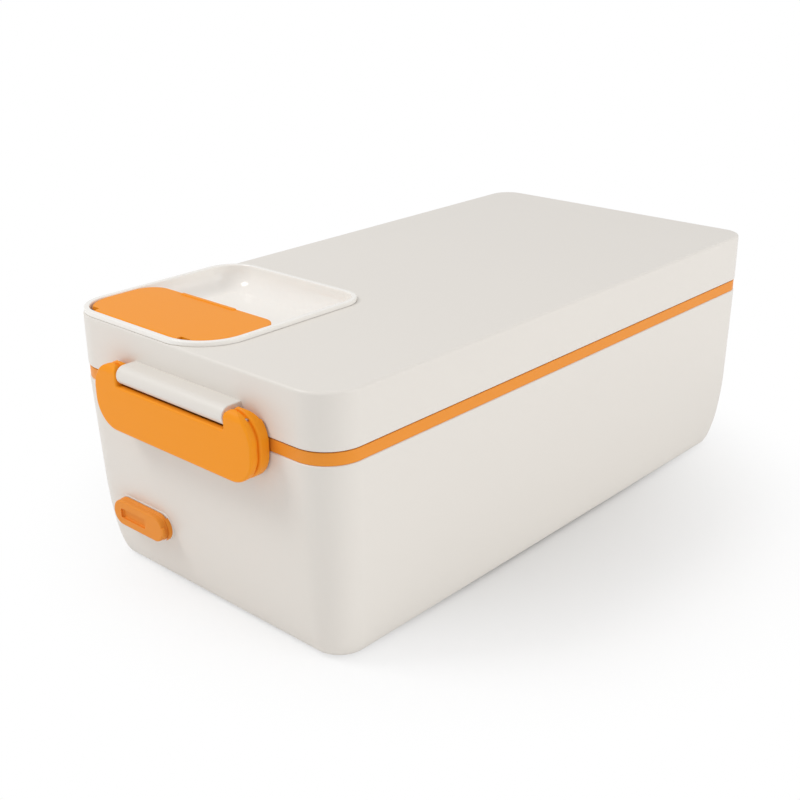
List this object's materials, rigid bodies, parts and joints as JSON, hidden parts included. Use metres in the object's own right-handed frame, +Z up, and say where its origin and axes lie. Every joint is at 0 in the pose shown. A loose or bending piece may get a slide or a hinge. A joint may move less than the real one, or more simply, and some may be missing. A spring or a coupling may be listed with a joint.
{
  "type": "electric lunch box",
  "caption": "Heated lunch box with a hinged lid, front latch lever, steam vent flap, lift-out steel pot and a covered power inlet.",
  "frame": {"origin": "on the ground under the middle of the box", "axes": "+X across the box to the right seen from the latch end, +Y from the latch end to the hinge end, +Z up"},
  "size_m": [0.12, 0.2471, 0.0905],
  "materials": {
    "cream_shell": "satin",
    "orange_plastic": "satin",
    "white_plastic": "satin",
    "white_gloss": "gloss",
    "orange_rubber": "matte",
    "seal_rubber": "matte",
    "foot_rubber": "matte",
    "black_plastic": "satin",
    "brown_plastic": "satin",
    "fuse_ceramic": "matte",
    "insulation": "matte",
    "wire_sleeve": "satin",
    "brass": "polished",
    "plate_aluminium": "brushed",
    "steel": "brushed"
  },
  "bodies": {
    "base": {"base_shell": "cream_shell", "trim_band": "orange_plastic", "inner_liner": "white_plastic", "heating_plate": "plate_aluminium", "ptc_heater": "plate_aluminium", "heater_clamp": "steel", "clamp_screws": "steel", "thermostat": "brown_plastic", "thermal_fuse": "fuse_ceramic", "insulation_pad": "insulation", "internal_wiring": "wire_sleeve", "inlet_housing": "black_plastic", "inlet_contacts": "brass", "inlet_screws": "steel", "cover_anchor": "orange_rubber", "bottom_cover": "cream_shell", "bottom_screws": "steel", "rubber_feet": "foot_rubber", "hinge_pin": "steel"},
    "cover": {"socket_cover": "orange_rubber"},
    "pot": {"food_pot": "steel"},
    "lid": {"lid_shell": "cream_shell", "lid_liner": "white_plastic", "lid_seal": "seal_rubber", "lid_screws": "steel", "vent_tray": "white_gloss", "steam_valve": "seal_rubber", "flap_pin": "steel", "latch_pin": "steel"},
    "flap": {"vent_flap": "orange_plastic"},
    "latch": {"latch_lever": "orange_plastic"}
  },
  "joints": [
    {"name": "lid_hinge", "type": "hinge", "parent": "base", "child": "lid", "pos_m": [0, 0.12, 0.0709], "axis": [-1, 0, 0], "range_deg": [0, 105]},
    {"name": "latch_hinge", "type": "hinge", "parent": "lid", "child": "latch", "pos_m": [0, -0.1204, 0.0763], "axis": [-1, 0, 0], "range_deg": [0, 115]},
    {"name": "flap_hinge", "type": "hinge", "parent": "lid", "child": "flap", "pos_m": [-0.02823, -0.11255, 0.0891], "axis": [1, 0, 0], "range_deg": [0, 85]},
    {"name": "cover_hinge", "type": "hinge", "parent": "base", "child": "cover", "pos_m": [-0.0165, -0.11725, 0.0227], "axis": [0, 0, 1], "range_deg": [0, 110]},
    {"name": "pot_lift", "type": "slide", "parent": "base", "child": "pot", "axis": [0, 0, 1], "range_m": [0, 0.0022]}
  ]
}
